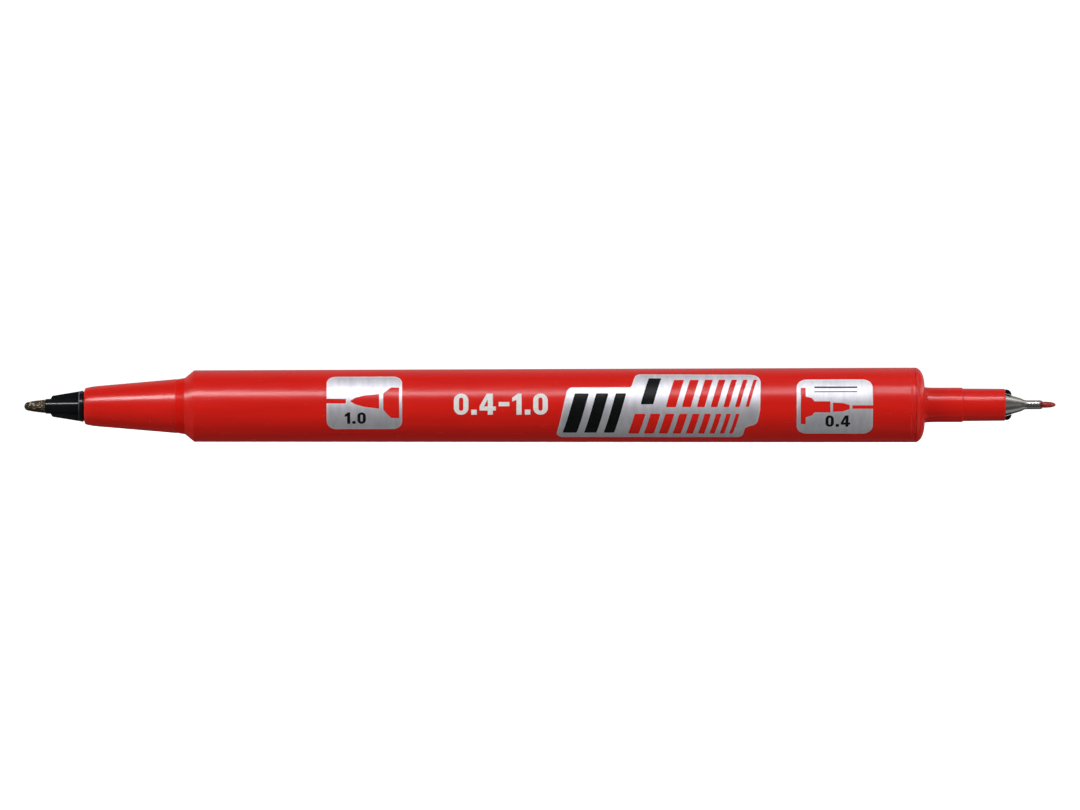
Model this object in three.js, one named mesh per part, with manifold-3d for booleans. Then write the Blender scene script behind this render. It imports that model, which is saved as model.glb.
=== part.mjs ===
// A double-ended marker: a bullet nib at one end, a needle nib at the other, one reservoir between them.
// Millimetres. The marker lies along X with its underside on z = 0 and the middle of its length at x = 0.
// Every outline is a list of [station, radius]. Stations run along the axis from the bullet nib's tip.
import * as THREE from "three";
import { mergeVertices } from "three/addons/utils/BufferGeometryUtils.js";
import Module from "manifold-3d";

const wasm = await Module();
wasm.setup();

// ---- Driving dimensions ----
const LENGTH = 140; // from one nib's tip to the other's
const SIDES = 48; // of every large round piece
const FINE_SIDES = 32; // of every slim round piece
const SEAT = 0.03; // clearance between two pieces that are pushed together

const NOSE_FRONT = 8.2;
const BAND_START = 20.7; // a short steeper band ends the nose cone
const SHOULDER_START = 21.8;
const SHOULDER_END = 23.07;
const TAIL_END = 120.87; // where the barrel stops and the tail plug's dome starts
const NOSE_CONE_RADIUS = 2.78;
const BAND_RADIUS = 3.675;
const SHOULDER_RADIUS = 3.83;
const BARREL_RADIUS_FRONT = 4.86;
const BARREL_RADIUS_TAIL = 5.07;

const BORE_START = 24.6;
const BORE_RADIUS_FRONT = 4.1;
const BORE_RADIUS_TAIL = 4.2;
const HOLDER_BORE = 1.9; // the nose's bore, which grips the nib holder's plug
const HOLDER_BORE_END = 17.5;

const RIB_COUNT = 6; // inside the barrel: they centre the reservoir and leave air past it
const RIB_WIDTH = 0.7;
const RIB_CREST = 3.86; // the ribs' inner edges beside the reservoir
const RIB_STEP = 3.2; // and in front of it, where they stop it
const RIB_STOP = 27.2;
const RIB_END = 111;

const BULLET_RADIUS = 0.9;
const BULLET_END = 33; // the bullet nib's rear end, inside the reservoir
const HOLDER_FRONT = 2.9;
const FLANGE_FRONT = 7.41;
const FLANGE_RADIUS_FRONT = 2.04;
const FLANGE_RADIUS_BACK = 2.16;
const FIN_THICKNESS = 0.9;
const VENT_COUNT = 4; // grooves along the holder's plug let air into the barrel
const VENT_WIDTH = 0.5;
const VENT_DEPTH = 0.25;

const RESERVOIR_START = RIB_STOP + 0.15;
const RESERVOIR_END = 112.2;
const RESERVOIR_RADIUS = 3.55;

const SPIGOT_START = 113; // the tail plug's spigot inside the barrel
const DOME_END = 122.15; // where the dome meets the neck
const CAP_SEAT_RADIUS = 2.8; // the dome ends in a narrow flat ring, against which a cap's mouth stops
const NECK_RADIUS = 2.34;
const STEP_START = 127.16;
const STEP_END = 127.63;
const SLEEVE_RADIUS = 2.21;
const RIM = 133.14;
const RIM_BORE = 2;
const NECK_BORE = 1.53;

const CONE_START = 133; // the steel tip's visible cone
const CONE_RADIUS = 1.57;
const CONE_END = 135.28;
const CONE_END_RADIUS = 0.885;
const PIPE_START = 135.9;
const PIPE_RADIUS = 0.61;
const PIPE_END = 138.19;
const LUG_THICKNESS = 1.1;
const LUG_FRONT = 133.98;

const WICK_RADIUS = 1;
const WICK_START = 107;
const WICK_END = 125.8;
const NEEDLE_RADIUS = 0.41;
const NEEDLE_START = 123;

// ---- Materials ----
const plastic = (color, roughness) =>
  new THREE.MeshStandardMaterial({ color, roughness, metalness: 0 });
const RED_PLASTIC = plastic(0xc81e1b, 0.3);
const BLACK_PLASTIC = plastic(0x0e1011, 0.35);
const RED_NIB = plastic(0xb3221c, 0.6);
const INKED_FELT = plastic(0x2b2116, 0.7);
const INKED_FIBRE = plastic(0xa82420, 0.9);
const CLEAR_WRAP = plastic(0xd9d4cf, 0.25);
const STEEL = new THREE.MeshStandardMaterial({ color: 0xb4b6b2, roughness: 0.3, metalness: 1 });

// ---- Helpers ----
// Points on an ellipse about [station, radius], from one angle to another in degrees, 0 being along +station.
function arc([station, radius], alongStation, alongRadius, from, to, steps) {
  return Array.from({ length: steps + 1 }, (_, i) => {
    const angle = THREE.MathUtils.degToRad(from + ((to - from) * i) / steps);
    return [station + alongStation * Math.cos(angle), radius + alongRadius * Math.sin(angle)];
  });
}

// An outline turned about the axis. It runs towards +station on its outer side, and either starts and
// ends on the axis or is closed here. A flat of the polygon lies underneath.
function turned(outline, sides) {
  const onAxis = outline[0][1] === 0 && outline.at(-1)[1] === 0;
  const points = (onAxis ? outline : [...outline, outline[0]]).map(([s, r]) => new THREE.Vector2(r, s));
  return new THREE.LatheGeometry(points, sides, Math.PI / sides).rotateZ(-Math.PI / 2);
}

// A plate with that outline in the plane of the axis, centred on it, at an angle about the axis from +Z.
function plate(outline, thickness, angle) {
  const shape = new THREE.Shape(outline.map(([s, r]) => new THREE.Vector2(s, r)));
  return new THREE.ExtrudeGeometry(shape, { depth: thickness, bevelEnabled: false })
    .translate(0, 0, -thickness / 2)
    .rotateX(Math.PI / 2 + angle);
}

function solid(geometry) {
  const bare = geometry.index ? geometry.toNonIndexed() : geometry.clone();
  bare.deleteAttribute("normal");
  bare.deleteAttribute("uv");
  const merged = mergeVertices(bare, 1e-4);
  return new wasm.Manifold(
    new wasm.Mesh({
      numProp: 3,
      vertProperties: merged.attributes.position.array,
      triVerts: new Uint32Array(merged.index.array),
    }),
  );
}

function geometryOf(manifold) {
  const { vertProperties, triVerts } = manifold.getMesh();
  const geometry = new THREE.BufferGeometry()
    .setAttribute("position", new THREE.BufferAttribute(vertProperties, 3))
    .setIndex(new THREE.BufferAttribute(triVerts, 1));
  geometry.computeVertexNormals();
  return geometry;
}

function piece(name, geometry, material) {
  const mesh = new THREE.Mesh(geometry, material);
  mesh.name = name;
  return mesh;
}

// ---- Barrel ----
// Moulding draft makes it a little wider at the tail.
function barrel() {
  const rimCurve = new THREE.QuadraticBezierCurve(
    new THREE.Vector2(NOSE_FRONT + 0.12, 2.44),
    new THREE.Vector2(NOSE_FRONT + 0.8, 2.67),
    new THREE.Vector2(NOSE_FRONT + 2.1, NOSE_CONE_RADIUS),
  );
  const outer = [
    [NOSE_FRONT, HOLDER_BORE],
    [NOSE_FRONT, 2.27],
    ...rimCurve.getPoints(4).map((p) => [p.x, p.y]),
    [BAND_START, BAND_RADIUS],
    [SHOULDER_START, SHOULDER_RADIUS],
    [SHOULDER_END, BARREL_RADIUS_FRONT],
    [TAIL_END, BARREL_RADIUS_TAIL],
  ];
  const inner = [
    [TAIL_END, BORE_RADIUS_TAIL],
    [BORE_START, BORE_RADIUS_FRONT],
    [22.5, 2.95],
    [HOLDER_BORE_END, 2.5],
    [HOLDER_BORE_END, HOLDER_BORE],
  ];
  const ribRoot = BORE_RADIUS_TAIL + 0.2;
  const ribStart = 22.8;
  const rib = [
    [ribStart, ribRoot],
    [ribStart, RIB_STEP],
    [RIB_STOP, RIB_STEP],
    [RIB_STOP, RIB_CREST],
    [RIB_END, RIB_CREST],
    [RIB_END, ribRoot],
  ];
  let shell = solid(turned([...outer, ...inner], SIDES));
  for (let i = 0; i < RIB_COUNT; i++) {
    shell = shell.add(solid(plate(rib, RIB_WIDTH, (i * 2 * Math.PI) / RIB_COUNT)));
  }
  return piece("barrel", geometryOf(shell), RED_PLASTIC);
}

// ---- Bullet end ----
function bulletNib() {
  const outline = [
    ...arc([0.6, 0], 0.6, 0.575, 180, 90, 5).map(([s, r], i) => [s, i === 0 ? 0 : r]),
    [1.3, 0.73],
    [2.75, BULLET_RADIUS],
    [BULLET_END - 0.8, BULLET_RADIUS],
    [BULLET_END, 0.6],
    [BULLET_END, 0],
  ];
  return piece("bullet_nib", turned(outline, FINE_SIDES), INKED_FELT);
}

function bulletNibHolder() {
  const bore = BULLET_RADIUS + SEAT;
  const back = NOSE_FRONT - SEAT;
  const plugRadius = HOLDER_BORE - SEAT;
  const plugEnd = HOLDER_BORE_END - 0.3;
  const outline = [
    [HOLDER_FRONT, bore],
    [HOLDER_FRONT, 0.97],
    [HOLDER_FRONT + 0.06, 1],
    [FLANGE_FRONT, 1.13],
    [FLANGE_FRONT, FLANGE_RADIUS_FRONT - 0.1],
    [FLANGE_FRONT + 0.1, FLANGE_RADIUS_FRONT],
    [back, FLANGE_RADIUS_BACK],
    [back, plugRadius],
    [plugEnd - 0.3, plugRadius],
    [plugEnd, 1.6],
    [plugEnd, 1.35],
    [21.5, 1.3],
    [21.5, bore],
  ];
  const fin = [
    [3.5, 0.95],
    [3.85, 1.4],
    [FLANGE_FRONT + 0.1, FLANGE_RADIUS_FRONT - 0.02],
    [FLANGE_FRONT + 0.1, 0.95],
  ];
  const vent = [
    [NOSE_FRONT, plugRadius + 0.1],
    [NOSE_FRONT, plugRadius - VENT_DEPTH],
    [plugEnd + 0.1, plugRadius - VENT_DEPTH],
    [plugEnd + 0.1, plugRadius + 0.1],
  ];
  let holder = solid(turned(outline, FINE_SIDES));
  for (const side of [0, Math.PI]) {
    holder = holder.add(solid(plate(fin, FIN_THICKNESS, side)));
  }
  for (let i = 0; i < VENT_COUNT; i++) {
    holder = holder.subtract(solid(plate(vent, VENT_WIDTH, ((i + 0.5) * 2 * Math.PI) / VENT_COUNT)));
  }
  return piece("bullet_nib_holder", geometryOf(holder), BLACK_PLASTIC);
}

// ---- Reservoir ----
function reservoirCore() {
  const nibHole = BULLET_RADIUS + 0.04;
  const wickHole = WICK_RADIUS + 0.04;
  const outline = [
    [BULLET_END + 0.3, 0],
    [BULLET_END + 0.3, nibHole],
    [RESERVOIR_START, nibHole],
    [RESERVOIR_START, RESERVOIR_RADIUS],
    [RESERVOIR_END, RESERVOIR_RADIUS],
    [RESERVOIR_END, wickHole],
    [WICK_START - 0.1, wickHole],
    [WICK_START - 0.1, 0],
  ];
  return piece("reservoir_core", turned(outline, SIDES), INKED_FIBRE);
}

function reservoirWrap() {
  const inside = RESERVOIR_RADIUS + SEAT;
  const outside = inside + 0.12;
  const outline = [
    [RESERVOIR_START, inside],
    [RESERVOIR_START, outside],
    [RESERVOIR_END, outside],
    [RESERVOIR_END, inside],
  ];
  return piece("reservoir_wrap", turned(outline, SIDES), CLEAR_WRAP);
}

function relayWick() {
  const socket = NEEDLE_RADIUS + SEAT;
  const outline = [
    [WICK_START, 0],
    [WICK_START, 0.8],
    [WICK_START + 0.5, WICK_RADIUS],
    [WICK_END, WICK_RADIUS],
    [WICK_END, socket],
    [NEEDLE_START - 0.1, socket],
    [NEEDLE_START - 0.1, 0],
  ];
  return piece("relay_wick", turned(outline, FINE_SIDES), INKED_FIBRE);
}

// ---- Needle end ----
function tailPlug() {
  const flangeBack = TAIL_END + SEAT;
  const spigot = BORE_RADIUS_TAIL - 0.06;
  const domeRise = BARREL_RADIUS_TAIL - CAP_SEAT_RADIUS;
  const outline = [
    [SPIGOT_START, 3.3],
    [SPIGOT_START, spigot - 0.25],
    [SPIGOT_START + 0.5, spigot],
    [flangeBack, spigot],
    ...arc([flangeBack, CAP_SEAT_RADIUS], DOME_END - flangeBack, domeRise, 90, 0, 8),
    [DOME_END, NECK_RADIUS + 0.1],
    [DOME_END + 0.4, NECK_RADIUS + 0.03],
    [DOME_END + 1.4, NECK_RADIUS],
    [STEP_START, NECK_RADIUS],
    [STEP_END, SLEEVE_RADIUS],
    [RIM - 0.15, SLEEVE_RADIUS - 0.04],
    [RIM - 0.04, SLEEVE_RADIUS - 0.09],
    [RIM, SLEEVE_RADIUS - 0.15],
    [RIM, RIM_BORE],
    [RIM - 0.64, RIM_BORE],
    [RIM - 0.64, NECK_BORE],
    [120.9, NECK_BORE],
    [120.9, 2.2],
    [119.8, 3.25],
  ];
  return piece("tail_plug", turned(outline, SIDES), RED_PLASTIC);
}

function needleHolder() {
  const wickBore = WICK_RADIUS + SEAT;
  const discBack = RIM - 0.64 + SEAT;
  const discFront = CONE_START - 0.05;
  const discRadius = RIM_BORE - 0.04;
  const stem = NECK_BORE - SEAT;
  const outline = [
    [117.5, wickBore],
    [117.5, stem - 0.15],
    [117.9, stem],
    [discBack, stem],
    [discBack, discRadius],
    [discFront, discRadius],
    [discFront, 1.13],
    [127.1, 1.13],
    [127.1, wickBore],
  ];
  const noseCentre = [RIM + 0.11, 1.35];
  const noseRadius = LUG_FRONT - noseCentre[0];
  const lug = [
    [discBack + 0.1, 1.3],
    [discBack + 0.1, discRadius - 0.03],
    [RIM + 0.04, discRadius - 0.03],
    [RIM + 0.04, noseCentre[1] + noseRadius],
    ...arc(noseCentre, noseRadius, noseRadius, 90, 0, 6),
    [LUG_FRONT, 1.31],
    [CONE_START, CONE_RADIUS + 0.03],
    [CONE_START - 0.1, CONE_RADIUS + 0.03],
    [CONE_START - 0.1, 1.3],
  ];
  let holder = solid(turned(outline, FINE_SIDES));
  for (const side of [0, Math.PI]) {
    holder = holder.add(solid(plate(lug, LUG_THICKNESS, side)));
  }
  return piece("needle_holder", geometryOf(holder), BLACK_PLASTIC);
}

function needleSleeve() {
  const wall = 0.15;
  const shank = 1.1;
  const bore = NEEDLE_RADIUS + 0.025;
  const outline = [
    [127.3, shank - wall],
    [127.3, shank],
    [CONE_START, shank],
    [CONE_START, CONE_RADIUS],
    [CONE_END, CONE_END_RADIUS],
    [PIPE_START - 0.16, PIPE_RADIUS + 0.05],
    [PIPE_START, PIPE_RADIUS],
    [PIPE_END - 0.36, PIPE_RADIUS],
    [PIPE_END - 0.12, PIPE_RADIUS - 0.05],
    [PIPE_END, PIPE_RADIUS - 0.13],
    [PIPE_END, bore],
    [PIPE_START, bore],
    [CONE_START + 1.2, shank - wall],
  ];
  return piece("needle_sleeve", turned(outline, FINE_SIDES), STEEL);
}

function needleNib() {
  const outline = [
    [NEEDLE_START, 0],
    [NEEDLE_START, 0.3],
    [NEEDLE_START + 0.3, NEEDLE_RADIUS],
    [LENGTH - 1.1, NEEDLE_RADIUS],
    [LENGTH - 0.65, 0.365],
    [LENGTH - 0.25, 0.26],
    [LENGTH - 0.05, 0.12],
    [LENGTH, 0],
  ];
  return piece("needle_nib", turned(outline, FINE_SIDES), RED_NIB);
}

const marker = new THREE.Group();
marker.add(
  barrel(),
  bulletNibHolder(),
  bulletNib(),
  reservoirCore(),
  reservoirWrap(),
  relayWick(),
  tailPlug(),
  needleHolder(),
  needleSleeve(),
  needleNib(),
);
// The polygon's lowest flat lies on z = 0.
marker.position.set(-LENGTH / 2, 0, BARREL_RADIUS_TAIL * Math.cos(Math.PI / SIDES));

export default marker;
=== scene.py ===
import math

import bpy
import numpy as np
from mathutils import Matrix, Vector
from mathutils.geometry import delaunay_2d_cdt


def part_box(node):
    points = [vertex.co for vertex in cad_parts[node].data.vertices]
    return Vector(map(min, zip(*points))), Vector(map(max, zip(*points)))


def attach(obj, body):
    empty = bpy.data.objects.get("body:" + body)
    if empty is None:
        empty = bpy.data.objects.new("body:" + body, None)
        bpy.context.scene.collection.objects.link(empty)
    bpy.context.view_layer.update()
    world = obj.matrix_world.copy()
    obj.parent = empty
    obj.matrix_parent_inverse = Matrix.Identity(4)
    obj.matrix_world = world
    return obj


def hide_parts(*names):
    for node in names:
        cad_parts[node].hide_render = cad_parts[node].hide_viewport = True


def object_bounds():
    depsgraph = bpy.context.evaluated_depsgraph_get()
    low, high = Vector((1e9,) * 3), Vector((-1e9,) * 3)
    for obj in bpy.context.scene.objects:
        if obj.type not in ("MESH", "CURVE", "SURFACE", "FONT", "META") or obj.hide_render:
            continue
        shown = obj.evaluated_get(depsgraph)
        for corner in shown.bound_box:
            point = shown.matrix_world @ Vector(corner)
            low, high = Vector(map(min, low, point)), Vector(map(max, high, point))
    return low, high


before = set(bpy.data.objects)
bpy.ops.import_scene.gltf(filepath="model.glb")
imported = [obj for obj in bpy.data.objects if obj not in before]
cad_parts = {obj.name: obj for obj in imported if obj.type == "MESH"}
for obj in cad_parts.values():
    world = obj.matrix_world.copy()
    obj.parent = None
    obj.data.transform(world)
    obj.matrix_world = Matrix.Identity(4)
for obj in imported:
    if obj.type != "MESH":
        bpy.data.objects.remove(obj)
cad_box = [list(corner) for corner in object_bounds()]

# Stations and radii are in millimetres: a station runs along the pen's axis from the bullet nib's tip.
MM = 0.001
TIP_X = cad_box[0][0]
BARREL_LOW, BARREL_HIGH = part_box("barrel")
AXIS_Z = (BARREL_LOW.z + BARREL_HIGH.z) / 2
NOSE_FRONT = (BARREL_LOW.x - TIP_X) / MM
TAIL_END = (BARREL_HIGH.x - TIP_X) / MM
LENGTH = (cad_box[1][0] - TIP_X) / MM
SEGMENTS = 192  # round a large turned piece
FINE_SEGMENTS = 96  # round a slim one
SHARP_ANGLE = math.radians(32)
ON_AXIS = 1e-6  # a smaller radius than this is a point on the axis
MOST_OF_HALF = 0.48  # how much of an edge one fillet may use up, so that two never meet

FLANGE_FRONT = 7.41  # of the black holder's flange
BAND_START = 20.66  # a dull band runs from here up to the shoulder
SHOULDER_START = 21.82
SHOULDER_END = 23.07
SHOULDER_RADIUS = 4.86
TAIL_RADIUS = 5.07
PIPE_END = 138.19  # the mouth of the steel pipe
SEAT = 0.03  # gap between two pieces that are pushed together

scene = bpy.context.scene
scene.view_settings.view_transform = "Standard"


# ---- Shapes ----


def place(station, radius, angle):
    """The point at that angle about the axis, in radians above the front of the pen."""
    return (
        TIP_X + station * MM,
        -radius * MM * math.cos(angle),
        AXIS_Z + radius * MM * math.sin(angle),
    )


def arc(centre, along, across, start, end, steps):
    """Points on an ellipse in (station, radius), from one angle in degrees to another."""
    angles = [math.radians(start + (end - start) * i / steps) for i in range(steps + 1)]
    return [(centre[0] + along * math.cos(a), centre[1] + across * math.sin(a)) for a in angles]


def filleted(corners, closed, steps=5):
    """Corners are (x, y) or (x, y, radius), where the radius rounds the corner off."""
    points = []
    count = len(corners)
    for i, corner in enumerate(corners):
        here = Vector(corner[:2])
        if len(corner) < 3 or (not closed and i in (0, count - 1)):
            points.append(tuple(here))
            continue
        to_last = Vector(corners[i - 1][:2]) - here
        to_next = Vector(corners[(i + 1) % count][:2]) - here
        half = to_last.angle(to_next) / 2
        shorter = min(to_last.length, to_next.length)
        reach = min(corner[2] / math.tan(half), shorter * MOST_OF_HALF)
        radius = reach * math.tan(half)
        bisector = (to_last.normalized() + to_next.normalized()).normalized()
        centre = here + bisector * (radius / math.sin(half))
        first = here + to_last.normalized() * reach - centre
        last = here + to_next.normalized() * reach - centre
        turn = first.angle_signed(last)
        for step in range(steps + 1):
            a = -turn * step / steps
            points.append(
                (
                    centre.x + first.x * math.cos(a) - first.y * math.sin(a),
                    centre.y + first.x * math.sin(a) + first.y * math.cos(a),
                )
            )
    return points


def supported(points, closed, distance=0.05):
    """Adds a point near each end of every long edge, so that smooth shading keeps the edge straight."""
    result = []
    count = len(points)
    long_edge = 6 * distance
    for i, point in enumerate(points):
        result.append(point)
        if not closed and i == count - 1:
            break
        a, b = Vector(point), Vector(points[(i + 1) % count])
        if (b - a).length > long_edge:
            step = (b - a).normalized() * distance
            result += [tuple(a + step), tuple(b - step)]
    return result


def make_piece(name, vertices, faces, material, body, nodes=()):
    """A smooth-shaded piece that rides on a body, with edges sharper than SHARP_ANGLE left sharp."""
    mesh = bpy.data.meshes.new(name)
    mesh.from_pydata(vertices, [], faces)
    mesh.validate()
    mesh.polygons.foreach_set("use_smooth", [True] * len(mesh.polygons))
    mesh.set_sharp_from_angle(angle=SHARP_ANGLE)
    mesh.materials.append(material)
    piece = bpy.data.objects.new(name, mesh)
    scene.collection.objects.link(piece)
    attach(piece, body)
    if nodes:
        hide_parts(*nodes)
    return piece


def turned_shell(corners, segments, cut=None):
    """Vertices and faces of an outline turned about the axis, closed on itself unless it starts on the axis.
    A cut gives the radius that is left at a station, radius and angle."""
    closed = corners[0][1] > 0
    outline = supported(filleted(corners, closed), closed)
    vertices, faces, rings = [], [], []
    for station, radius in outline:
        if radius < ON_AXIS:
            rings.append([len(vertices)] * segments)
            vertices.append(place(station, 0, 0))
            continue
        rings.append(list(range(len(vertices), len(vertices) + segments)))
        for k in range(segments):
            angle = 2 * math.pi * k / segments
            vertices.append(place(station, cut(station, radius, angle) if cut else radius, angle))
    pairs = list(zip(rings, rings[1:] + rings[:1])) if closed else list(zip(rings, rings[1:]))
    for ring, after in pairs:
        for k in range(segments):
            n = (k + 1) % segments
            face = [ring[k], ring[n], after[n], after[k]]
            face = [v for i, v in enumerate(face) if v != face[i - 1]]
            faces.append(face)
    return vertices, faces


def plate_shell(corners, thickness, angle, bevel=0.05):
    """A flat plate with bevelled edges, centred on a plane through the axis."""
    outline = filleted(corners, True, 4)
    middle = Vector((sum(p[0] for p in outline), sum(p[1] for p in outline))) / len(outline)
    layers = []
    for side, shrink in ((-1, bevel), (-1, 0), (1, 0), (1, bevel)):
        offset = side * (thickness / 2 - (0 if shrink else bevel))
        layer = []
        for p in outline:
            point = Vector(p)
            if shrink:
                point += (middle - point).normalized() * shrink
            layer.append((point.x, point.y, offset))
        layers.append(layer)
    vertices, faces = [], []
    count = len(outline)
    for layer in layers:
        for station, radius, offset in layer:
            y = offset * MM
            z = radius * MM
            vertices.append(
                (
                    TIP_X + station * MM,
                    y * math.cos(angle) - z * math.sin(angle),
                    AXIS_Z + y * math.sin(angle) + z * math.cos(angle),
                )
            )
    for level in range(3):
        for k in range(count):
            n = (k + 1) % count
            base = level * count
            faces.append([base + k, base + n, base + count + n, base + count + k])
    faces.append(list(range(count))[::-1])
    faces.append(list(range(3 * count, 4 * count)))
    return vertices, faces


def joined(*shells):
    """One list of vertices and one of faces, for shells that are a single moulding."""
    vertices, faces = [], []
    for shell_vertices, shell_faces in shells:
        start = len(vertices)
        vertices += shell_vertices
        faces += [[v + start for v in face] for face in shell_faces]
    return vertices, faces


# ---- Materials ----


class Finish:
    """A Principled material with procedural detail, in millimetres along the pen's own axes."""

    def __init__(self, name, **sockets):
        self.material = bpy.data.materials.new(name)
        self.material.use_nodes = True
        self.tree = self.material.node_tree
        self.shader = self.tree.nodes["Principled BSDF"]
        for key, value in sockets.items():
            self.shader.inputs[key.replace("_", " ")].default_value = value
        where = self.tree.nodes.new("ShaderNodeTexCoord")
        self.mm = self.node("ShaderNodeMapping", {"Vector": where.outputs["Object"]})
        self.mm.inputs["Location"].default_value = (0, 0, -AXIS_Z / MM)
        self.mm.inputs["Scale"].default_value = (1 / MM, 1 / MM, 1 / MM)

    def node(self, kind, inputs=None, **settings):
        made = self.tree.nodes.new(kind)
        for key, value in settings.items():
            setattr(made, key, value)
        for key, value in (inputs or {}).items():
            if isinstance(value, bpy.types.NodeSocket):
                self.tree.links.new(value, made.inputs[key])
            elif isinstance(value, bpy.types.Node):
                self.tree.links.new(value.outputs[0], made.inputs[key])
            else:
                made.inputs[key].default_value = value
        return made

    def stretched(self, x, y, z):
        return self.node("ShaderNodeMapping", {"Vector": self.mm, "Scale": (x, y, z)})

    def noise(self, scale, detail=3, roughness=0.5, vector=None):
        inputs = {"Vector": vector or self.mm, "Scale": scale, "Detail": detail, "Roughness": roughness}
        return self.node("ShaderNodeTexNoise", inputs)

    def along_and_up(self):
        """The place on the pen: X along it from its middle, and Z up from its axis."""
        return self.node("ShaderNodeSeparateXYZ", {"Vector": self.mm})

    def ranged(self, source, low, high, to_low, to_high):
        inputs = {"Value": source, "From Min": low, "From Max": high, "To Min": to_low, "To Max": to_high}
        return self.node("ShaderNodeMapRange", inputs)

    def distance_from(self, station):
        """How far a place lies from that station along the pen."""
        offset = self.maths("SUBTRACT", self.along_and_up(), station - LENGTH / 2)
        return self.maths("ABSOLUTE", offset, 0)

    def maths(self, operation, a, b):
        return self.node("ShaderNodeMath", {0: a, 1: b}, operation=operation)

    def mixed(self, factor, a, b):
        made = self.node("ShaderNodeMix", {0: factor}, data_type="RGBA")
        for index, value in ((6, a), (7, b)):
            if isinstance(value, bpy.types.Node):
                self.tree.links.new(value.outputs[2], made.inputs[index])
            else:
                made.inputs[index].default_value = (*value, 1)
        return made

    def color(self, mix):
        self.tree.links.new(mix.outputs[2], self.shader.inputs["Base Color"])

    def drive(self, socket, source):
        self.tree.links.new(source.outputs[0], self.shader.inputs[socket])

    def bump(self, height, distance, strength=1.0, below=None):
        inputs = {"Height": height, "Distance": distance * MM, "Strength": strength}
        if below:
            inputs["Normal"] = below
        made = self.node("ShaderNodeBump", inputs)
        self.tree.links.new(made.outputs[0], self.shader.inputs["Normal"])
        return made

    def angle_about_axis(self):
        split = self.along_and_up()
        return self.maths("ARCTAN2", split.outputs["Z"], split.outputs["Y"])


def red_plastic(name, roughness):
    """Glossy moulded plastic with faint flow streaks, fine grain, hair scratches and one dull band."""
    f = Finish(name, IOR=1.54)
    flow = f.noise(1.0, 4, 0.55, f.stretched(0.05, 0.7, 0.7))
    tone = f.mixed(f.ranged(flow, 0.3, 0.7, 0, 1), (0.60, 0.0088, 0.0046), (0.68, 0.0118, 0.0060))
    grain = f.noise(14.0, 2)
    f.color(f.mixed(f.ranged(grain, 0.5, 0.8, 0, 0.3), tone, (0.56, 0.0078, 0.0042)))
    smudge = f.noise(0.55, 4, 0.6)
    hairs = f.noise(1.0, 2, 0.5, f.stretched(0.25, 16, 16))
    worn = f.maths("ADD", f.ranged(smudge, 0.35, 0.7, -0.015, 0.03), f.ranged(hairs, 0.6, 0.8, 0, 0.03))
    from_middle = f.distance_from((BAND_START + SHOULDER_START) / 2)
    half, edge = (SHOULDER_START - BAND_START) / 2, 0.04
    f.drive("Specular IOR Level", f.ranged(from_middle, half - edge, half + edge, 0.08, 0.5))
    f.drive("Roughness", f.maths("ADD", worn, roughness))
    fine = f.bump(grain, 0.0002, 0.5)
    f.bump(f.noise(0.9, 2), 0.003, 0.5, below=fine)
    return f.material


def black_plastic():
    """Glossy black, with a painted grey reflection along the front edge of the nib holder's flange, brighter
    higher up.
    """
    f = Finish("black_plastic", IOR=1.42)
    grain = f.noise(11.0, 3)
    tone = f.mixed(f.ranged(grain, 0.35, 0.7, 0, 1), (0.0028, 0.0036, 0.0042), (0.0062, 0.0078, 0.0088))
    # Painted reflection: a grey line on the flange's front edge, paler higher up as if lit from above.
    painted_flange_reflection = f.ranged(f.distance_from(FLANGE_FRONT + 0.06), 0.05, 0.12, 1, 0)
    painted_light_higher_up = f.ranged(f.along_and_up().outputs["Z"], -0.9, 1.2, 0.12, 0.8)
    f.color(f.mixed(f.maths("MULTIPLY", painted_flange_reflection, painted_light_higher_up), tone, (0.12, 0.13, 0.14)))
    f.drive("Roughness", f.ranged(f.noise(2.2, 4, 0.6), 0.3, 0.7, 0.16, 0.24))
    f.bump(grain, 0.0008, 0.5)
    return f.material


def felt_nib():
    """Hard felt, black, with specks of dried ink glinting bronze. It is darker at the tip, and towards the
    bottom the glints and paler felt fade out as painted shade.
    """
    f = Finish("inked_felt")
    blotch = f.noise(3.2, 4, 0.65)
    speck = f.node("ShaderNodeTexVoronoi", {"Vector": f.stretched(0.7, 1, 1), "Scale": 5.5})
    chance = f.node("ShaderNodeSeparateColor", {"Color": speck.outputs["Color"]})
    glint = f.maths("MULTIPLY", f.ranged(chance, 0.45, 0.6, 0, 1), f.ranged(speck, 0.55, 0.3, 0, 1))
    glint = f.maths("MULTIPLY", glint, f.ranged(blotch, 0.42, 0.52, 0.15, 1))
    back_from_tip = f.ranged(f.along_and_up(), -LENGTH / 2 + 0.3, -LENGTH / 2 + 0.9, 0.25, 1)
    # Painted shade: the glints and paler felt fade out towards the bottom of the nib.
    painted_light_above = f.ranged(f.along_and_up().outputs["Z"], -0.55, 0.15, 0.12, 1)
    clear_of_tip_and_shade = f.maths("MULTIPLY", back_from_tip, painted_light_above)
    glint = f.maths("MULTIPLY", glint, clear_of_tip_and_shade)
    bare = f.maths("MULTIPLY", f.ranged(blotch, 0.4, 0.62, 0, 1), clear_of_tip_and_shade)
    base = f.mixed(bare, (0.007, 0.005, 0.003), (0.06, 0.04, 0.018))
    f.color(f.mixed(glint, base, (0.86, 0.68, 0.38)))
    f.drive("Metallic", f.ranged(glint, 0.1, 0.9, 0.0, 0.35))
    f.drive("Roughness", f.ranged(glint, 0, 1, 0.6, 0.34))
    f.bump(f.maths("ADD", blotch, speck), 0.03, 0.8)
    return f.material


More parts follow.
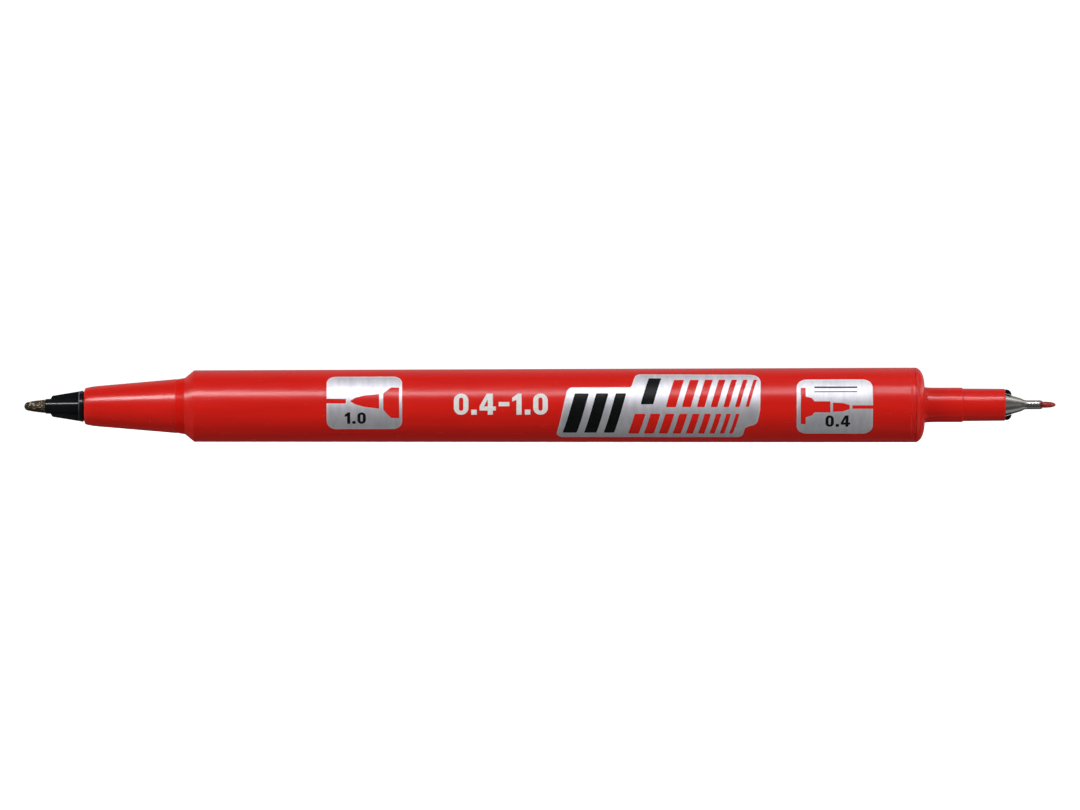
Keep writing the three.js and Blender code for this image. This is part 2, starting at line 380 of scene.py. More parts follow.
def needle_plastic():
    """Nib plastic drawn with fine flutes, wet with red ink."""
    f = Finish("needle_plastic", IOR=1.46)
    flutes = f.noise(1.0, 3, 0.6, f.stretched(0.7, 9, 9))
    f.color(f.mixed(f.ranged(flutes, 0.4, 0.62, 0, 1), (0.15, 0.011, 0.009), (0.48, 0.06, 0.044)))
    f.drive("Roughness", f.ranged(flutes, 0.3, 0.7, 0.3, 0.5))
    f.bump(flutes, 0.02, 0.7)
    return f.material


def steel():
    """Drawn steel: fine marks run along it and converge on the pipe, whose mouth is stained with ink."""
    f = Finish("drawn_steel", Metallic=1.0)
    along = f.along_and_up().outputs["X"]
    long_marks = f.maths("MULTIPLY", along, 0.12)
    close_marks = f.maths("MULTIPLY", f.angle_about_axis(), 5.0)
    around = f.node("ShaderNodeCombineXYZ", {"X": long_marks, "Y": close_marks})
    marks = f.noise(1.0, 5, 0.65, around)
    fine = f.noise(4.5, 3, 0.6, around)
    metal = f.mixed(f.ranged(marks, 0.4, 0.6, 0, 1), (0.36, 0.337, 0.308), (0.95, 0.92, 0.865))
    mouth = PIPE_END - LENGTH / 2
    stain = f.ranged(along, mouth - 0.45, mouth - 0.25, 0, 0.93)
    f.color(f.mixed(stain, metal, (0.46, 0.05, 0.04)))
    f.drive("Roughness", f.ranged(fine, 0.3, 0.7, 0.2, 0.34))
    f.bump(f.maths("ADD", marks, f.maths("MULTIPLY", fine, 0.4)), 0.002, 0.5)
    return f.material


def inked_fibre():
    """Bundled fibres soaked with red ink, running along the pen."""
    f = Finish("inked_fibre")
    strands = f.noise(1.0, 4, 0.7, f.stretched(0.15, 6, 6))
    f.color(f.mixed(f.ranged(strands, 0.35, 0.65, 0, 1), (0.17, 0.010, 0.010), (0.46, 0.05, 0.04)))
    f.drive("Roughness", f.ranged(strands, 0.3, 0.7, 0.7, 0.95))
    f.bump(strands, 0.08, 0.8)
    return f.material


def clear_wrap():
    """Thin film with long creases, tinted by the ink behind it."""
    f = Finish("clear_wrap", IOR=1.5)
    creases = f.noise(1.0, 3, 0.6, f.stretched(0.2, 1.5, 1.5))
    f.color(f.mixed(f.ranged(creases, 0.3, 0.7, 0, 1), (0.62, 0.50, 0.48), (0.78, 0.70, 0.67)))
    f.drive("Roughness", f.ranged(creases, 0.3, 0.7, 0.12, 0.3))
    f.bump(creases, 0.03, 0.5)
    return f.material


def silver_print(name, dark, light, roughness):
    """Metallic ink: flakes at random tilts, and a faint cloudiness where the ink lies thinner."""
    f = Finish(name, Metallic=0.8)
    cloud = f.noise(1.0, 3, 0.6, f.stretched(1.6, 0.4, 0.4))
    flake = f.node("ShaderNodeTexVoronoi", {"Vector": f.mm, "Scale": 22.0})
    tone = f.mixed(f.ranged(cloud, 0.35, 0.65, 0, 1), dark, light)
    f.color(f.mixed(f.ranged(flake, 0.3, 0.6, 0, 0.4), tone, dark))
    f.drive("Roughness", f.ranged(cloud, 0.3, 0.7, roughness, roughness + 0.07))
    f.bump(flake, 0.002, 0.5)
    return f.material


def ink(name, dark, light, roughness, ior):
    """Opaque printing ink, a little mottled."""
    f = Finish(name, IOR=ior)
    mottle = f.noise(3.0, 4, 0.6)
    f.color(f.mixed(f.ranged(mottle, 0.35, 0.65, 0, 1), dark, light))
    f.drive("Roughness", f.ranged(mottle, 0.3, 0.7, roughness, roughness + 0.1))
    f.bump(mottle, 0.002, 0.5)
    return f.material


BARREL_RED = red_plastic("barrel_plastic", 0.24)
TAIL_RED = red_plastic("tail_plastic", 0.22)
BLACK = black_plastic()
FIBRE = inked_fibre()


# ---- Barrel ----


def barrel():
    """The tube with its nose, band, shoulder and moulding seam, and the ribs that hold the ink bundle."""
    nose_end = 20.62
    seam = 120.31
    bore_radius, mouth_radius = 4.1, 4.2
    holder_bore, holder_bore_end = 1.9, 17.5  # the narrow bore that grips the nib holder's plug
    outline = [
        (NOSE_FRONT, holder_bore, 0.06),
        (NOSE_FRONT, 2.3, 0.12),
        (NOSE_FRONT + 0.12, 2.465, 0.1),
        (NOSE_FRONT + 0.45, 2.55, 0.5),
        (NOSE_FRONT + 1.1, 2.68, 1.5),
        (NOSE_FRONT + 2.1, 2.78, 1.5),
        (nose_end, 3.667, 0.06),
        (nose_end + 0.1, 3.64, 0.05),
        (SHOULDER_START, 3.835, 0.1),
        (SHOULDER_END, SHOULDER_RADIUS, 0.22),
        (seam - 0.07, 5.067, 0.03),
        (seam, 5.025, 0.02),
        (seam + 0.07, 5.069, 0.03),
        (TAIL_END, TAIL_RADIUS, 0.06),
        (TAIL_END, mouth_radius, 0.1),
        (24.6, bore_radius),
        (22.5, 2.95),
        (holder_bore_end, 2.5),
        (holder_bore_end, holder_bore),
    ]
    shells = [turned_shell(outline, SEGMENTS)]
    rib_count, rib_thickness = 6, 0.7
    rib_start, rib_step, rib_end = 22.8, 27.2, 111
    rib_root, rib_crest, stop_crest = 4.4, 3.86, 3.2
    rib = [
        (rib_start, rib_root),
        (rib_start, stop_crest, 0.1),
        (rib_step, stop_crest, 0.1),
        (rib_step, rib_crest),
        (rib_end, rib_crest, 0.1),
        (rib_end, rib_root),
    ]
    for k in range(rib_count):
        shells.append(plate_shell(rib, rib_thickness, 2 * math.pi * k / rib_count, 0.04))
    vertices, faces = joined(*shells)
    make_piece("barrel_shell", vertices, faces, BARREL_RED, "barrel_body", ["barrel"])


# ---- Bullet end ----


def bullet_holder():
    """The black insert in the nose: a tube with two fins, a flange and a plug with vent grooves."""
    front, bore = 2.9, 0.93
    flange_back = NOSE_FRONT - SEAT
    plug_radius, plug_end = 1.87, 17.2
    tube_end = 21.5
    outline = [
        (front, bore, 0.01),
        (front, 1.0, 0.03),
        (FLANGE_FRONT, 1.13, 0.06),
        (FLANGE_FRONT, 1.95, 0.02),
        (FLANGE_FRONT + 0.09, 2.04, 0.03),
        (flange_back - 0.2, 2.13, 0.03),
        (flange_back - 0.14, 2.01, 0.02),
        (flange_back, 2.01, 0.02),
        (flange_back, plug_radius),
        (plug_end - 0.3, plug_radius, 0.1),
        (plug_end, 1.6, 0.1),
        (plug_end, 1.35),
        (tube_end, 1.3, 0.05),
        (tube_end, bore, 0.05),
    ]
    vent_count, vent_width, vent_floor = 4, 0.5, 1.62

    def vented(station, radius, angle):
        """Grooves along the plug let air into the barrel."""
        turn = angle * vent_count / (2 * math.pi) % 1 - 0.5
        aside = abs(turn) * 2 * math.pi / vent_count * radius
        return min(radius, vent_floor) if station > NOSE_FRONT and aside < vent_width / 2 else radius

    fin_back, fin_thickness = FLANGE_FRONT + 0.05, 0.9
    fin = [(3.5, 0.9), (3.85, 1.43, 0.12), (fin_back, 2.02, 0.03), (fin_back, 0.9)]
    shells = [turned_shell(outline, SEGMENTS, vented)]
    shells += [plate_shell(fin, fin_thickness, side) for side in (0, math.pi)]
    vertices, faces = joined(*shells)
    nodes = ["bullet_nib_holder"]
    make_piece("bullet_holder", vertices, faces, BLACK, "bullet_holder_body", nodes)


def bullet_nib():
    """The felt rod, from its round tip to its rear end inside the ink bundle."""
    radius, rear = 0.9, 33.0
    round_tip = arc((0.6, 0), 0.6, 0.59, 180, 92, 12)
    outline = [
        (0.0, 0.0),
        *round_tip[1:],
        (1.03, 0.69, 1.0),
        (1.85, 0.805, 1.5),
        (2.75, radius, 0.8),
        (rear - 0.8, radius, 0.2),
        (rear, 0.6),
        (rear, 0.0),
    ]
    vertices, faces = turned_shell(outline, FINE_SEGMENTS)
    nodes = ["bullet_nib"]
    make_piece("bullet_nib_felt", vertices, faces, felt_nib(), "bullet_nib_body", nodes)


# ---- Needle end ----


def tail_plug():
    """One moulding: the spigot inside the barrel, the dome, and the neck that steps down to a sleeve."""
    spigot_start, spigot_radius = 113.0, 4.14
    dome_start, dome_end = TAIL_END + SEAT, 122.15
    seat_radius = 2.8
    neck_radius, step = 2.34, 127.27
    rim, rim_bore = 133.14, 2.0
    grip_seat, grip_bore = 132.5, 1.53
    hollow_start = 120.9
    dome = arc((dome_start, seat_radius), dome_end - dome_start, TAIL_RADIUS - seat_radius, 90, 0, 18)
    outline = [
        (spigot_start, 3.3, 0.05),
        (spigot_start, 3.89, 0.05),
        (spigot_start + 0.5, spigot_radius, 0.1),
        (dome_start, spigot_radius),
        (dome_start, TAIL_RADIUS - 0.01, 0.03),
        *dome[1:],
        (dome_end, neck_radius + 0.1, 0.05),
        (dome_end + 0.4, neck_radius + 0.03, 0.3),
        (123.6, neck_radius, 1.0),
        (step, neck_radius, 0.03),
        (step + 0.13, 2.215, 0.03),
        (rim - 0.14, 2.17, 0.1),
        (rim, 2.06, 0.06),
        (rim, rim_bore, 0.02),
        (grip_seat, rim_bore),
        (grip_seat, grip_bore),
        (hollow_start, grip_bore, 0.1),
        (hollow_start, 2.2, 0.1),
        (119.8, 3.25, 0.2),
    ]
    vertices, faces = turned_shell(outline, SEGMENTS)
    make_piece("tail_plug_shell", vertices, faces, TAIL_RED, "tail_body", ["tail_plug"])


def needle_grip():
    """The black insert that holds the steel sleeve. Its two lugs show at the neck's mouth."""
    start, front = 117.5, 132.95
    radius, collar_radius, collar = 1.5, 1.96, 132.53
    bore, wick_bore, wick_stop = 1.13, 1.03, 127.1
    outline = [
        (start, wick_bore),
        (start, 1.35, 0.05),
        (start + 0.4, radius, 0.1),
        (collar, radius),
        (collar, collar_radius, 0.03),
        (front, collar_radius, 0.05),
        (front, bore, 0.03),
        (wick_stop, bore),
        (wick_stop, wick_bore),
    ]
    lug_root, lug_rise, lug_thickness = 132.63, 133.18, 1.1
    lug_nose = arc((133.25, 1.35), 0.73, 0.73, 88, 0, 10)
    lug = [
        (lug_root, 1.3),
        (lug_root, 1.93),
        (lug_rise, 1.93),
        (lug_rise, 2.08),
        *lug_nose,
        (133.98, 1.31),
        (133.0, 1.6),
        (132.9, 1.3),
    ]
    shells = [turned_shell(outline, FINE_SEGMENTS)]
    shells += [plate_shell(lug, lug_thickness, side, 0.04) for side in (0, math.pi)]
    vertices, faces = joined(*shells)
    make_piece("needle_grip", vertices, faces, BLACK, "tail_body", ["needle_holder"])


def steel_sleeve():
    """The shank in the grip, the cone that shows, and the pipe that guides the nib."""
    shank_start, cone_start = 127.3, 133.0
    shank_radius, shank_bore = 1.1, 0.95
    pipe_bore = 0.44
    outline = [
        (shank_start, shank_bore),
        (shank_start, shank_radius, 0.03),
        (cone_start, shank_radius),
        (cone_start, 1.57, 0.03),
        (135.28, 0.885, 0.8),
        (135.74, 0.655, 0.4),
        (136.0, 0.612, 0.4),
        (137.8, 0.608, 0.25),
        (PIPE_END - 0.11, 0.56, 0.15),
        (PIPE_END, 0.48, 0.03),
        (PIPE_END, pipe_bore, 0.01),
        (136.1, pipe_bore),
        (134.2, shank_bore),
    ]
    vertices, faces = turned_shell(outline, FINE_SEGMENTS)
    make_piece("steel_sleeve", vertices, faces, steel(), "tail_body", ["needle_sleeve"])


def needle_nib():
    """The thin nib, with its tapered writing end in front of the pipe."""
    start, radius = 123.0, 0.415
    outline = [
        (start, 0.0),
        (start, 0.3),
        (start + 0.3, radius),
        (LENGTH - 1.3, radius, 0.8),
        (LENGTH - 0.68, 0.372, 0.5),
        (LENGTH - 0.28, 0.275, 0.3),
        (LENGTH - 0.05, 0.15, 0.07),
        (LENGTH, 0.0),
    ]
    vertices, faces = turned_shell(outline, FINE_SEGMENTS)
    make_piece("needle_nib_tip", vertices, faces, needle_plastic(), "needle_nib_body", ["needle_nib"])


def wick():
    """The fibre rod that feeds the needle nib, with a socket for the nib's rear end."""
    start, end, radius = 107.0, 125.8, 1.0
    socket_start, socket_radius = 122.9, 0.435
    outline = [
        (start, 0.0),
        (start, 0.8, 0.1),
        (start + 0.5, radius, 0.2),
        (end, radius, 0.05),
        (end, socket_radius),
        (socket_start, socket_radius),
        (socket_start, 0.0),
    ]
    vertices, faces = turned_shell(outline, FINE_SEGMENTS)
    make_piece("wick_rod", vertices, faces, FIBRE, "tail_body", ["relay_wick"])


# ---- Print ----
# Flat shapes in millimetres, wrapped on the barrel. A point is its station, and its height along the surface
# above the line that faces front.

PRINT_RADIUS = 4.98  # turns a height along the surface into an angle
PRINT_LIFT = 0.02  # above the barrel's surface
PRINT_STEP = 0.25  # between the points of a wrapped shape
PRINT_EDGE = 0.2  # width of the paler line round the silver


def divided(loop):
    """The loop with no edge longer than the print's step, so that it bends with the barrel."""
    result = []
    for i, point in enumerate(loop):
        a, b = Vector(point), Vector(loop[(i + 1) % len(loop)])
        parts = max(1, math.ceil((b - a).length / PRINT_STEP))
        result += [tuple(a.lerp(b, k / parts)) for k in range(parts)]
    return result


def inside(points, loops):
    """Which points lie inside an odd number of the loops."""
    odd = np.zeros(len(points), bool)
    for loop in loops:
        a = np.array(loop)
        b = np.roll(a, -1, axis=0)
        for (ax, ay), (bx, by) in zip(a, b):
            crosses = (ay > points[:, 1]) != (by > points[:, 1])
            if ay != by:
                crossing = ax + (points[:, 1] - ay) * (bx - ax) / (by - ay)
                odd ^= crosses & (points[:, 0] < crossing)
    return odd


def wrapped(shapes, lift):
    """Vertices, normals and faces of shapes laid on the barrel. A shape is an outer loop, then its holes."""
    vertices, normals, faces = [], [], []
    for shape in shapes:
        points, edges = [], []
        for loop in shape:
            loop = divided(loop)
            start = len(points)
            points += loop
            edges += [(start + k, start + (k + 1) % len(loop)) for k in range(len(loop))]
        low = np.min(points, axis=0)
        high = np.max(points, axis=0)
        grid = [
            (u, v)
            for u in np.arange(low[0] + PRINT_STEP / 2, high[0], PRINT_STEP * 2)
            for v in np.arange(low[1] + PRINT_STEP / 2, high[1], PRINT_STEP)
        ]
        flat = [Vector((float(u), float(v))) for u, v in points + grid]
        found, _, triangles, *_ = delaunay_2d_cdt(flat, edges, [], 1, 1e-5)
        places = np.array([tuple(point) for point in found])
        middles = places[np.array(triangles)].mean(axis=1)
        kept = inside(middles, shape)
        start = len(vertices)
        for u, v in found:
            share = (u - SHOULDER_END) / (TAIL_END - SHOULDER_END)
            radius = SHOULDER_RADIUS + (TAIL_RADIUS - SHOULDER_RADIUS) * share + lift
            angle = v / PRINT_RADIUS
            vertices.append(place(u, radius, angle))
            normals.append((0, -math.cos(angle), math.sin(angle)))
        faces += [[start + v for v in face] for face, keep in zip(triangles, kept) if keep]
    return vertices, normals, faces


def printed(name, shapes, material, lift=PRINT_LIFT):
    """A piece of print that rides on the barrel and is shaded as smoothly as the barrel is."""
    vertices, normals, faces = wrapped(shapes, lift)
    used = sorted({v for face in faces for v in face})
    index = {v: i for i, v in enumerate(used)}
    kept_vertices = [vertices[v] for v in used]
    kept_faces = [[index[v] for v in face] for face in faces]
    piece = make_piece(name, kept_vertices, kept_faces, material, "barrel_body")
    piece.data.normals_split_custom_set_from_vertices([normals[v] for v in used])


def inset(corners, width):
    """The loop of corners moved inwards. Corners run clockwise, and each has its rounding."""
    result = []
    count = len(corners)
    least_rounding = 0.03
    sharpest = 0.3  # keeps a very sharp corner from moving too far
    for i, corner in enumerate(corners):
        here = Vector(corner[:2])
        back = (here - Vector(corners[i - 1][:2])).normalized()
        ahead = (Vector(corners[(i + 1) % count][:2]) - here).normalized()
        normal_back = Vector((back.y, -back.x))
        normal_ahead = Vector((ahead.y, -ahead.x))
        middle = (normal_back + normal_ahead).normalized()
        reach = width / max(middle.dot(normal_back), sharpest)
        turn = back.x * ahead.y - back.y * ahead.x
        rounding = corner[2] + (width if turn > 0 else -width)
        moved = here + middle * reach
        result.append((moved.x, moved.y, max(rounding, least_rounding)))
    return result


def panel(low, high, corner, slot_low, slot_high, slot_end, outline):
    """A rounded silver panel with a slot in its low-station side, which is the thin line drawn out of it.
    Returns the panel's loop and the loop of its pale outline."""

    def path(margin):
        u0, v0 = low[0] + margin, low[1] + margin
        u1, v1 = high[0] - margin, high[1] - margin
        r = corner - margin
        corners = [(u0, slot_high), (u0, v1, r), (u1, v1, r), (u1, v0, r), (u0, v0, r), (u0, slot_low)]
        return filleted(corners, False, 8)

    outer = path(0)
    return outer + [(slot_end, slot_low), (slot_end, slot_high)], outer + path(outline)[::-1]


def mirrored(loop, middle):
    """The loop turned about left to right, still running the same way round."""
    return [(2 * middle - p[0], *p[1:]) for p in loop][::-1]


def slanted_bar(u, low, high, width, slant=0.29, rounding=0.12):
    """An upright stroke that leans towards the needle end, its foot starting at u."""
    lean = (high - low) * slant
    corners = [(u, low), (u + lean, high), (u + lean + width, high), (u + width, low)]
    return filleted([(*c, rounding) for c in corners], True, 4)


STROKE = 0.24  # a digit's line, in heights of the digit
ZERO_WIDTH = 0.68
ZERO_OUTSIDE = [(0, 0), (0, 1), (ZERO_WIDTH, 1), (ZERO_WIDTH, 0)]
ZERO_INSIDE = [(STROKE, 0.19), (STROKE, 0.81), (ZERO_WIDTH - STROKE, 0.81), (ZERO_WIDTH - STROKE, 0.19)]
GLYPHS = {  # the width and the loops of each character, in heights of it
    "0": (
        ZERO_WIDTH,
        [[(*corner, ZERO_WIDTH / 2) for corner in ZERO_OUTSIDE], [(*corner, 0.1) for corner in ZERO_INSIDE]],
    ),
    "1": (0.46, [[(0.2, 0), (0.2, 0.7), (0, 0.62), (0, 0.8), (0.27, 1), (0.44, 1), (0.44, 0)]]),
    "4": (
        0.76,
        [
            [
                (0.38, 0),
                (0.38, 0.2),
                (0, 0.2),
                (0, 0.4),
                (0.34, 1),
                (0.62, 1),
                (0.62, 0.39),
                (0.76, 0.39),
                (0.76, 0.2),
                (0.62, 0.2),
                (0.62, 0),
            ],
            [(0.2, 0.39), (0.38, 0.72), (0.38, 0.39)],
        ],
    ),
    ".": (0.26, [[(0, 0), (0, 0.24), (0.26, 0.24), (0.26, 0)]]),
    "-": (0.5, [[(0, 0.4), (0, 0.6), (0.5, 0.6), (0.5, 0.4)]]),
}


def number(text, u, v, height, spacing=0.13):
    """The shapes of bold numerals, whose lower left corner is at (u, v)."""
    shapes = []
    for character in text:
        width, loops = GLYPHS[character]
        shape = []
        for loop in loops:
            placed = [(u + p[0] * height, v + p[1] * height, *(q * height for q in p[2:])) for p in loop]
            shape.append(filleted(placed, True, 6))
        shapes.append(shape)
        u += (width + spacing) * height
    return shapes


def row_of_bars(u, low, high, width, thinning, gap, count):
    """Leaning strokes side by side, each thinner than the last by the same amount."""
    bars = []
    for _ in range(count):
        bars.append(slanted_bar(u, low, high, width))
        u += width + gap
        width -= thinning
    return bars


def bullet_panel():
    """The bullet end's panel and its pale edge. The drawn line, nib and holder show the barrel's red."""
    outline, edge = panel((41.15, -3.45), (51.35, 4.6), 1.3, 0.33, 0.97, 43.75, PRINT_EDGE)
    nib = [
        (44.3, 0.65),
        (45.0, 1.1, 1.5),
        (46.2, 1.42, 2.0),
        (48.25, 1.62, 0.05),
        (48.25, -0.4, 0.05),
        (46.2, -0.14, 2.0),
        (45.0, 0.2, 1.5),
    ]
    holder = [
        (48.8, 1.75, 0.4),
        (49.85, 2.6, 0.4),
        (50.95, 2.6),
        (50.95, -1.7),
        (49.85, -1.7, 0.4),
        (48.8, -0.55, 0.4),
    ]
    return [outline, filleted(nib, True), filleted(holder, True)], edge


def needle_panel():
    """The needle end's panel and its pale edge, whose line leaves it on the other side."""
    start, end = 104.7, 115.0
    loops = panel((start, -4.3), (end, 3.75), 1.4, -0.5, -0.05, 107.5, PRINT_EDGE)
    outline, edge = (mirrored(loop, (start + end) / 2) for loop in loops)
    holder = [
        (105.25, -2.65),
        (105.25, 2.4),
        (105.92, 2.4),
        (105.92, 1.15, 0.1),
        (106.75, 0.95, 0.3),
        (107.1, 0.5, 0.2),
        (109.25, 0.5),
        (109.25, -0.98),
        (107.1, -0.98, 0.2),
        (106.75, -1.4, 0.3),
        (105.92, -1.65, 0.1),
        (105.92, -2.65),
    ]
    needle = [
        (109.6, 0.33),
        (110.9, 0.28, 1.0),
        (111.85, 0.0),
        (111.85, -0.55),
        (110.9, -0.85, 1.0),
        (109.6, -0.9),
    ]
    return [outline, filleted(holder, True), filleted(needle, True)], edge


def stepped_plate():
    """A two-tier silver plate with red strokes that thin out from heavy to fine, and its pale edge."""
    plate = [
        (72.05, -5.1, 0.9),
        (73.75, 2.55, 0.9),
        (82.35, 2.55, 0.4),
        (83.0, 4.95, 0.9),
        (99.9, 4.75, 1.5),
        (99.75, -0.65, 0.6),
        (99.35, -2.6, 0.8),
        (97.75, -3.2, 0.5),
        (97.3, -5.1, 0.8),
    ]
    outline = filleted(plate, True, 8)
    strokes = row_of_bars(81.9, -4.3, -1.15, 1.45, 0.12, 0.68, 9)
    strokes += row_of_bars(87.0, -0.25, 3.75, 1.35, 0.15, 0.82, 7)
    return [outline, *strokes], [outline, filleted(inset(plate, PRINT_EDGE), True, 8)]


def black_marks():
    """The plate's heavy black bars, the two line widths and the two thin lines."""
    bars = row_of_bars(73.05, -4.1, 1.65, 1.9, 0.25, 1.0, 3)
    bars += row_of_bars(83.6, 0.15, 4.05, 1.7, 0, 0, 1)
    marks = [[bar] for bar in bars]
    marks += number("1.0", 43.6, -2.55, 1.65, 0.16)
    marks += number("0.4", 108.6, -3.05, 1.65, 0.16)
    start, end = 107.1, 112.9
    for low, high in ((1.75, 1.87), (2.35, 2.57)):
        marks.append([[(start, low), (start, high), (end, high), (end, low)]])
    return marks


def print_on_barrel():
    silver = silver_print("silver_ink", (0.82, 0.82, 0.87), (0.97, 0.97, 1.0), 0.5)
    pale = silver_print("pale_silver_ink", (0.90, 0.89, 0.92), (1.0, 0.99, 1.0), 0.62)
    black = ink("black_ink", (0.0020, 0.0026, 0.0026), (0.006, 0.007, 0.007), 0.3, 1.3)
    white = ink("white_ink", (0.66, 0.66, 0.63), (0.76, 0.76, 0.73), 0.4, 1.45)
    bullet_shape, bullet_edge = bullet_panel()
    needle_shape, needle_edge = needle_panel()
    plate_shape, plate_edge = stepped_plate()
    printed("silver_print", [bullet_shape, needle_shape, plate_shape], silver)
    printed("silver_edges", [[bullet_edge], [needle_edge], plate_edge], pale, PRINT_LIFT * 1.4)
    printed("black_print", black_marks(), black, PRINT_LIFT * 1.8)
    printed("white_print", number("0.4-1.0", 58.35, -1.25, 2.9), white)


barrel()
bullet_holder()
bullet_nib()
tail_plug()
needle_grip()
steel_sleeve()
needle_nib()
wick()
print_on_barrel()

# The CAD's plain inner pieces stay, with the detail of soaked fibre and clear film.
for node, material in (("reservoir_core", FIBRE), ("reservoir_wrap", clear_wrap())):
    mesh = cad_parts[node].data
    mesh.materials.clear()
    mesh.materials.append(material)


# ---- Studio ----
# Distances here are in metres, and directions in degrees.

KEY_DISTANCE = 0.6
STRIP_HEIGHT = 0.1


def floor_mesh():
    """A large round floor that curves up into a wall all round."""
    radius, bend, height = 4.5, 0.6, 1.6
    segments, bend_steps = 128, 12
    profile = [(1.5, 0.0), (radius - bend, 0.0)]
    for k in range(1, bend_steps + 1):
        a = math.radians(90 * k / bend_steps)
        profile.append((radius - bend + bend * math.sin(a), bend - bend * math.cos(a)))
    profile.append((radius, height))
    vertices = [(0, 0, 0)]
    rings = []
    for r, z in profile:
        rings.append(list(range(len(vertices), len(vertices) + segments)))
        for k in range(segments):
            a = 2 * math.pi * k / segments
            vertices.append((r * math.cos(a), r * math.sin(a), z))
    faces = [[0, rings[0][k], rings[0][(k + 1) % segments]] for k in range(segments)]
    for ring, after in zip(rings, rings[1:]):
        for k in range(segments):
            n = (k + 1) % segments
            faces.append([ring[k], after[k], after[n], ring[n]])
    mesh = bpy.data.meshes.new("floor")
    mesh.from_pydata(vertices, [], faces)
    mesh.polygons.foreach_set("use_smooth", [True] * len(mesh.polygons))
    return mesh


def pale_floor():
    """Plain pale grey. Away from the pen, where the studio's lights don't reach, it glows up to white."""
    material = bpy.data.materials.new("pale_floor")
    material.use_nodes = True
    shader = material.node_tree.nodes["Principled BSDF"]
    shader.inputs["Base Color"].default_value = (0.86, 0.86, 0.86, 1)
    shader.inputs["Roughness"].default_value = 1.0
    shader.inputs["Specular IOR Level"].default_value = 0.0
    shader.inputs["Emission Color"].default_value = (1, 1, 1, 1)
    nodes, links = material.node_tree.nodes, material.node_tree.links
    where = nodes.new("ShaderNodeTexCoord")
    distance = nodes.new("ShaderNodeVectorMath")
    distance.operation = "LENGTH"
    glow = nodes.new("ShaderNodeMapRange")
    for key, value in zip(("From Min", "From Max", "To Min", "To Max"), (0.2, 1.3, 0.55, 1.0)):
        glow.inputs[key].default_value = value
    links.new(where.outputs["Object"], distance.inputs[0])
    links.new(distance.outputs["Value"], glow.inputs["Value"])
    links.new(glow.outputs["Result"], shader.inputs["Emission Strength"])
    return material


def studio_surface():
    """The floor takes shadows but sends no light back up, so the pen's underside stays deep."""
    mesh = floor_mesh()
    mesh.materials.append(pale_floor())
    floor = bpy.data.objects.new("floor", mesh)
    scene.collection.objects.link(floor)
    floor.visible_diffuse = False
    floor.visible_glossy = False
    floor.visible_shadow = False


def world_light():
    """Faint light from all round, and a brighter patch behind and above that edges the pen's top."""
    world = bpy.data.worlds.new("studio")
    world.use_nodes = True
    scene.world = world
    tree = world.node_tree
    background = tree.nodes["Background"]
    where = tree.nodes.new("ShaderNodeTexCoord")

    def lobe(direction, low, high, to_low, to_high):
        """A strength that changes from one value to another as the view turns towards a direction."""
        dot = tree.nodes.new("ShaderNodeVectorMath")
        dot.operation = "DOT_PRODUCT"
        tree.links.new(where.outputs["Generated"], dot.inputs[0])
        dot.inputs[1].default_value = direction
        ranged = tree.nodes.new("ShaderNodeMapRange")
        ranged.interpolation_type = "SMOOTHSTEP"
        tree.links.new(dot.outputs["Value"], ranged.inputs["Value"])
        limits = (low, high, to_low, to_high)
        for key, value in zip(("From Min", "From Max", "To Min", "To Max"), limits):
            ranged.inputs[key].default_value = value
        return ranged.outputs["Result"]

    all_round = lobe((0, 0, -1), 0.0, 1.0, 0.07, 0.06)
    patch = lobe((0, 0.85, 0.53), 0.6, 1.0, 0.0, 0.26)
    total = tree.nodes.new("ShaderNodeMath")
    total.operation = "ADD"
    tree.links.new(all_round, total.inputs[0])
    tree.links.new(patch, total.inputs[1])
    tree.links.new(total.outputs[0], background.inputs["Strength"])
    background.inputs["Color"].default_value = (0.97, 0.985, 1.0, 1)


def soft_light(name, position, size, strength, color=(1, 1, 1), shines=True, mirrored_in_gloss=True):
    """A rectangular softbox aimed at the pen. Strength is the radiance of its face."""
    data = bpy.data.lights.new(name, "AREA")
    data.shape = "RECTANGLE"
    data.size, data.size_y = size
    data.energy = strength * math.pi * size[0] * size[1]
    data.color = color
    lamp = bpy.data.objects.new(name, data)
    lamp.location = position
    aim = Vector((0, 0, AXIS_Z)) - Vector(position)
    lamp.rotation_mode = "QUATERNION"
    lamp.rotation_quaternion = aim.to_track_quat("-Z", "Y")
    lamp.visible_diffuse = shines
    lamp.visible_glossy = mirrored_in_gloss
    scene.collection.objects.link(lamp)


def towards(azimuth, elevation, distance, x=0.0):
    """A place that far from the pen. Azimuth 0 is in front of it, and elevation is above the horizon."""
    a, e = math.radians(azimuth), math.radians(elevation)
    return (
        x + distance * math.sin(a),
        -distance * math.cos(a) * math.cos(e),
        AXIS_Z + distance * math.cos(a) * math.sin(e),
    )


def mirrored_in(tilt, angle, distance):
    """The place that a view from the front mirrors in a surface turned by tilt to the tail and angle up."""
    t, a = math.radians(tilt), math.radians(angle)
    facing = math.cos(t) * math.cos(a)
    return (
        distance * 2 * facing * math.sin(t),
        distance * (1 - 2 * facing**2),
        AXIS_Z + distance * 2 * facing * math.cos(t) * math.sin(a),
    )


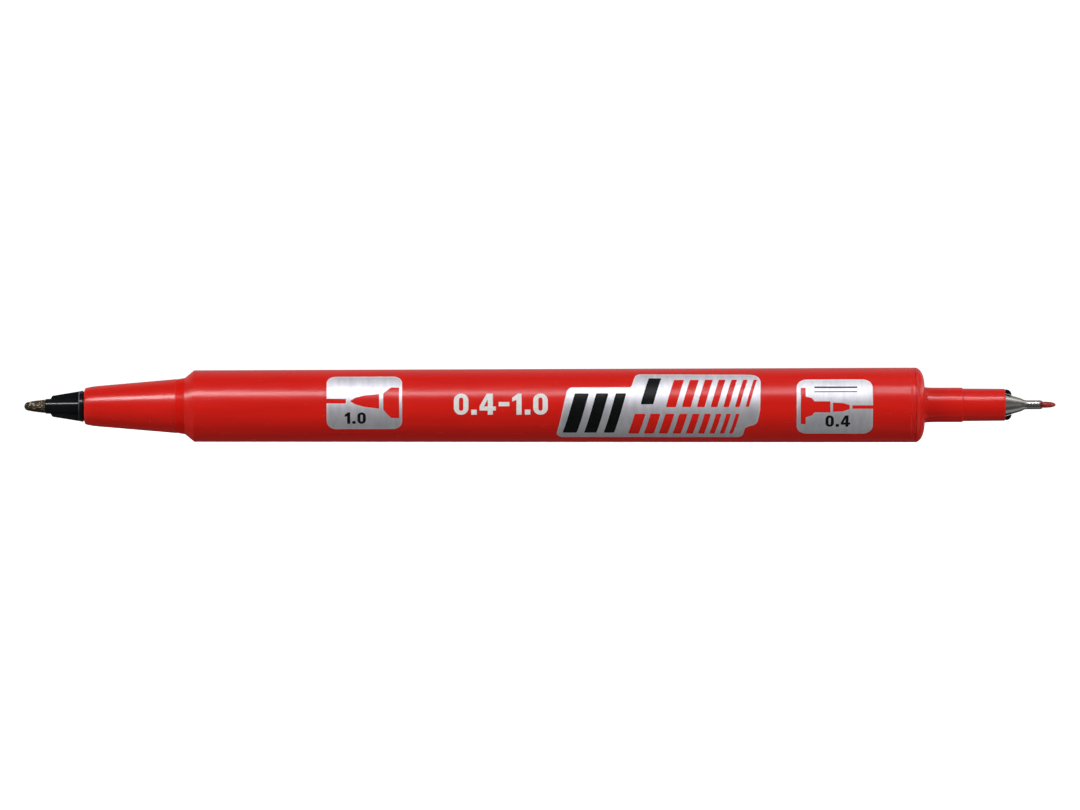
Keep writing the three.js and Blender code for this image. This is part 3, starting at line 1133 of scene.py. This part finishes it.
def key_lights():
    """A row of strips in front and above, strongest at both ends, draws the highlight along the pen."""
    strips = (
        ("key_nose", -0.21, -0.075, 41.5, 20),
        ("key_front", -0.075, -0.03, 39.5, 5.8),
        ("key_middle", -0.03, 0.02, 37.5, 4.5),
        ("key_right", 0.02, 0.066, 40.5, 3.7),
        ("key_tail", 0.066, 0.084, 42.5, 13),
        ("key_neck", 0.084, 0.15, 52, 14),
    )
    for name, start, end, elevation, strength in strips:
        place_in_row = towards(0, elevation, KEY_DISTANCE, (start + end) / 2)
        soft_light(name, place_in_row, (end - start, STRIP_HEIGHT), strength, (1.0, 0.97, 1.03))


def mirrored_lights():
    """These shine on nothing and are only mirrored. They carry the highlight over the front of the nose, the
    barrel's shoulder and the tail's dome, and they are the greys in the steel cone."""
    nose_glint = towards(0, 41.5, KEY_DISTANCE, -0.31)
    soft_light("nose_glint", nose_glint, (0.2, STRIP_HEIGHT), 12, shines=False)
    soft_light("shoulder_glint", (-0.6, -0.03, 0.24), (0.06, 0.06), 28, shines=False)
    for tilt, strength in ((45, 3.2), (55, 2.2), (65, 0.8)):
        dome_glint = mirrored_in(tilt, 22, KEY_DISTANCE)
        soft_light("dome_glint_%d" % tilt, dome_glint, (0.2, 0.055), strength, shines=False)
    soft_light("steel_top", (0.55, -0.1, 0.9), (0.7, 0.9), 0.66, shines=False)
    soft_light("steel_low", (0.55, -0.1, -0.8), (0.6, 0.9), 0.28, shines=False)
    soft_light("steel_front", (0.8, -0.9, 0.0), (0.6, 1.2), 0.14, shines=False)


def fill_lights():
    """The fills give broad light from both sides, with no highlights of their own."""
    directions = (("fill_", 50, 41, 4.35), ("low_", 50, -60, 2.3), ("back_", 130, -12, 5.0))
    for side, name in ((-1, "left"), (1, "right")):
        for kind, azimuth, elevation, strength in directions:
            box = towards(side * azimuth, elevation, 1.0)
            soft_light(kind + name, box, (0.6, 0.6), strength, mirrored_in_gloss=False)


def front_camera():
    """Square to the pen's side and level with its axis, with a long lens and a very slight roll."""
    data = bpy.data.cameras.new("camera")
    data.sensor_width = 36.0
    data.lens = 286.0
    data.clip_end = 20.0
    camera = bpy.data.objects.new("camera", data)
    camera.location = (0, -1.1647, AXIS_Z + 0.00007)
    camera.rotation_euler = (math.radians(90), math.radians(0.09), 0)
    scene.collection.objects.link(camera)
    scene.camera = camera


studio_surface()
world_light()
key_lights()
mirrored_lights()
fill_lights()
front_camera()
